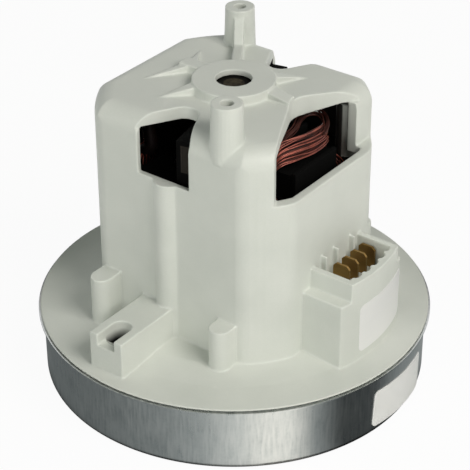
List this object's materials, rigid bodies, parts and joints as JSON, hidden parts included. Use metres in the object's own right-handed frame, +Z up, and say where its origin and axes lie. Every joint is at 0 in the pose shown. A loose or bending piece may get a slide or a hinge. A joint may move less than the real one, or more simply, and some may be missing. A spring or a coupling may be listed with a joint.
{
  "type": "vacuum cleaner motor",
  "caption": "Vacuum cleaner motor: a moulded motor housing with a terminal socket and screw posts on a pressed steel fan can, with fan, rotor, brushes and field coils inside.",
  "frame": {"origin": "centre of the fan can's floor", "axes": "+Z up along the shaft, +X towards the terminal socket, -Y towards the clip block"},
  "size_m": [0.136, 0.136, 0.1172],
  "materials": {
    "moulding": "moulded, satin",
    "can_steel": "pressed sheet with fine upright streaks",
    "black_plastic": "moulded, matt",
    "light_alloy": "pressed, satin",
    "dark_steel": "plain",
    "laminations": "stacked sheet, lightly oxidised",
    "copper_wire": "enamelled copper wire",
    "copper_bar": "turned copper",
    "brass": "pressed, slightly tarnished",
    "spring_steel": "drawn wire",
    "carbon": "graphite, matt",
    "rubber": "matt",
    "bearing_steel": "ground",
    "phenolic": "pressed resin",
    "lead_sleeve": "woven sleeve",
    "label_paper": "blank film label"
  },
  "bodies": {
    "housing": {"motor_housing": "moulding", "fan_can": "can_steel", "diffuser": "black_plastic", "upper_insulator": "black_plastic", "lower_insulator": "black_plastic", "brush_holder_a": "black_plastic", "brush_holder_b": "black_plastic", "bearing_bracket": "light_alloy", "bracket_screws": "dark_steel", "stator_screws": "dark_steel", "bearing_retainer": "dark_steel", "top_shields": "dark_steel", "fan_shields": "dark_steel", "stator_core": "laminations", "field_coil_core_a": "copper_wire", "field_coil_core_b": "copper_wire", "field_winding_a": "copper_wire", "field_winding_b": "copper_wire", "brush_tube_a": "brass", "brush_tube_b": "brass", "brush_cap_a": "brass", "brush_cap_b": "brass", "terminal_tab_1": "brass", "terminal_tab_2": "brass", "terminal_tab_3": "brass", "terminal_tab_4": "brass", "brush_spring_a": "spring_steel", "brush_spring_b": "spring_steel", "bearing_cushion": "rubber", "top_outer_ring": "bearing_steel", "fan_outer_ring": "bearing_steel", "terminal_lead_a": "lead_sleeve", "terminal_lead_b": "lead_sleeve", "brush_lead_a": "lead_sleeve", "brush_lead_b": "lead_sleeve", "block_label": "label_paper", "can_label": "label_paper"},
    "rotor": {"rotor_shaft": "bearing_steel", "armature_core": "laminations", "armature_winding": "copper_wire", "commutator_hub": "phenolic", "commutator_bars": "copper_bar", "fan_front_disc": "light_alloy", "fan_back_disc": "light_alloy", "fan_vanes": "light_alloy", "fan_spacer": "bearing_steel", "fan_washer": "bearing_steel", "fan_nut": "dark_steel", "top_inner_ring": "bearing_steel", "fan_inner_ring": "bearing_steel"},
    "brush_a": {"carbon_brush_a": "carbon"},
    "brush_b": {"carbon_brush_b": "carbon"},
    "top_ball_set": {"top_balls": "bearing_steel", "top_cage": "brass"},
    "fan_ball_set": {"fan_balls": "bearing_steel", "fan_cage": "brass"}
  },
  "joints": [
    {"name": "rotor_spin", "type": "hinge", "parent": "housing", "child": "rotor", "pos_m": [0, 0, 0.06], "axis": [0, 0, 1], "continuous": true},
    {"name": "brush_a_slide", "type": "slide", "parent": "housing", "child": "brush_a", "axis": [0.2079, -0.9781, 0], "range_m": [0, 0.005], "stiffness_N_per_m": 200, "springref_m": -0.01, "deforming": ["brush_spring_a"]},
    {"name": "brush_b_slide", "type": "slide", "parent": "housing", "child": "brush_b", "axis": [-0.2079, 0.9781, 0], "range_m": [0, 0.005], "stiffness_N_per_m": 200, "springref_m": -0.01, "deforming": ["brush_spring_b"]},
    {"name": "top_balls_spin", "type": "hinge", "parent": "housing", "child": "top_ball_set", "pos_m": [0, 0, 0.1027], "axis": [0, 0, 1], "continuous": true},
    {"name": "fan_balls_spin", "type": "hinge", "parent": "housing", "child": "fan_ball_set", "pos_m": [0, 0, 0.0245], "axis": [0, 0, 1], "continuous": true}
  ],
  "couplings": [
    {"joint": "top_balls_spin", "follows": "rotor_spin", "ratio": 0.3754},
    {"joint": "fan_balls_spin", "follows": "rotor_spin", "ratio": 0.374}
  ]
}
